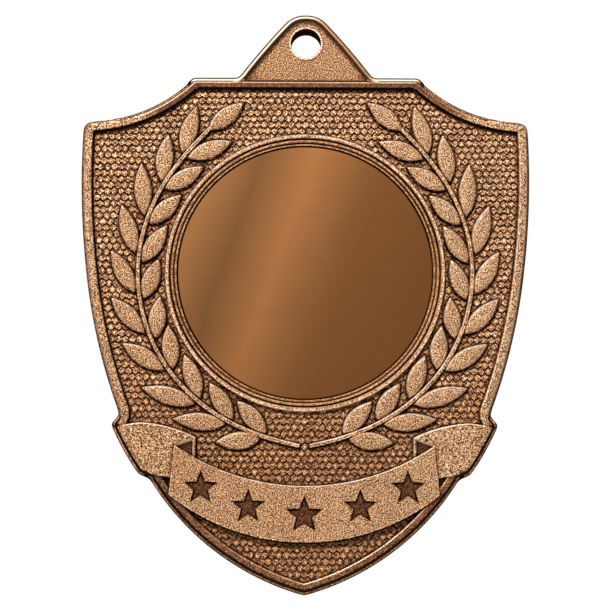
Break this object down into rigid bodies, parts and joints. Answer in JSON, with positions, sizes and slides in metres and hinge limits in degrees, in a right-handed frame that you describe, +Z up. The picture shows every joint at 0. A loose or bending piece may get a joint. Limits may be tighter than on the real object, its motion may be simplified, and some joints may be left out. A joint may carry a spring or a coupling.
{
  "type": "shield award medal",
  "caption": "Shield-shaped hanging award medal in antique bronze with a laurel wreath, a starred ribbon banner and a plain round insert inside a raised ring.",
  "frame": {"origin": "centre of the suspension hole, halfway through the casting's thickness", "axes": "+Z up with the medal hanging upright, the face looks along -Y, +X is the viewer's right"},
  "size_m": [0.0446, 0.003, 0.0576],
  "materials": {
    "antique_bronze": "antique bronze plating on die-cast zinc alloy, dark in the recesses and polished on the high edges, sand-textured surfaces",
    "brushed_bronze": "bronze-coloured aluminium sheet, finely brushed side to side",
    "adhesive_film": "milky double-sided adhesive film"
  },
  "bodies": {
    "root": {"medal_body": "antique_bronze", "insert_disc": "brushed_bronze", "insert_adhesive": "adhesive_film"}
  },
  "joints": []
}
